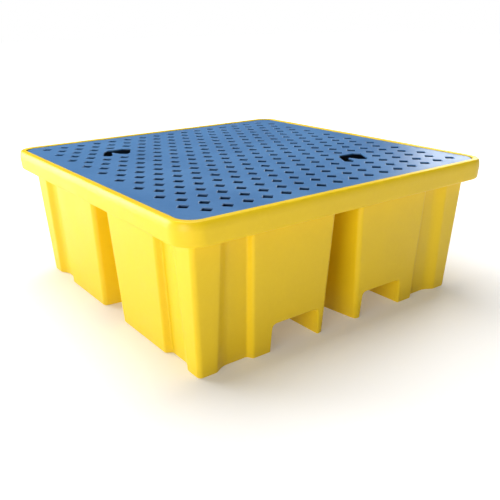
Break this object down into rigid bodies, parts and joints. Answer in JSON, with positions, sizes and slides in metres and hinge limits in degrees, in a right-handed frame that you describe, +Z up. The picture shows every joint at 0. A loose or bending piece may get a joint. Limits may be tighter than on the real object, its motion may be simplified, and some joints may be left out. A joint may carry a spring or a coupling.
{
  "type": "spill containment pallet",
  "caption": "Square moulded sump pallet for drums, with two fork tunnels, a wide overhanging rim, inner support posts and a lift-out perforated deck.",
  "frame": {"origin": "on the floor, under the middle of the pallet", "axes": "+Z up; the fork tunnels run along Y, from the front at -Y to the back at +Y; X runs across"},
  "size_m": [1.31, 1.31, 0.514],
  "materials": {
    "sump_plastic": "rotationally moulded yellow polyethylene, satin with a faint orange-peel texture",
    "deck_plastic": "moulded blue polyethylene, satin, scuffed on the top face",
    "post_plastic": "extruded dark grey polyethylene pipe, matte"
  },
  "bodies": {
    "pallet": {"sump": "sump_plastic", "support_post_1": "post_plastic", "support_post_2": "post_plastic", "support_post_3": "post_plastic", "support_post_4": "post_plastic", "support_post_5": "post_plastic", "support_post_6": "post_plastic", "support_post_7": "post_plastic"},
    "deck": {"deck_grid": "deck_plastic"}
  },
  "joints": [
    {"name": "deck_lift", "type": "slide", "parent": "pallet", "child": "deck", "axis": [0, 0, 1], "range_m": [0, 0.3]}
  ]
}
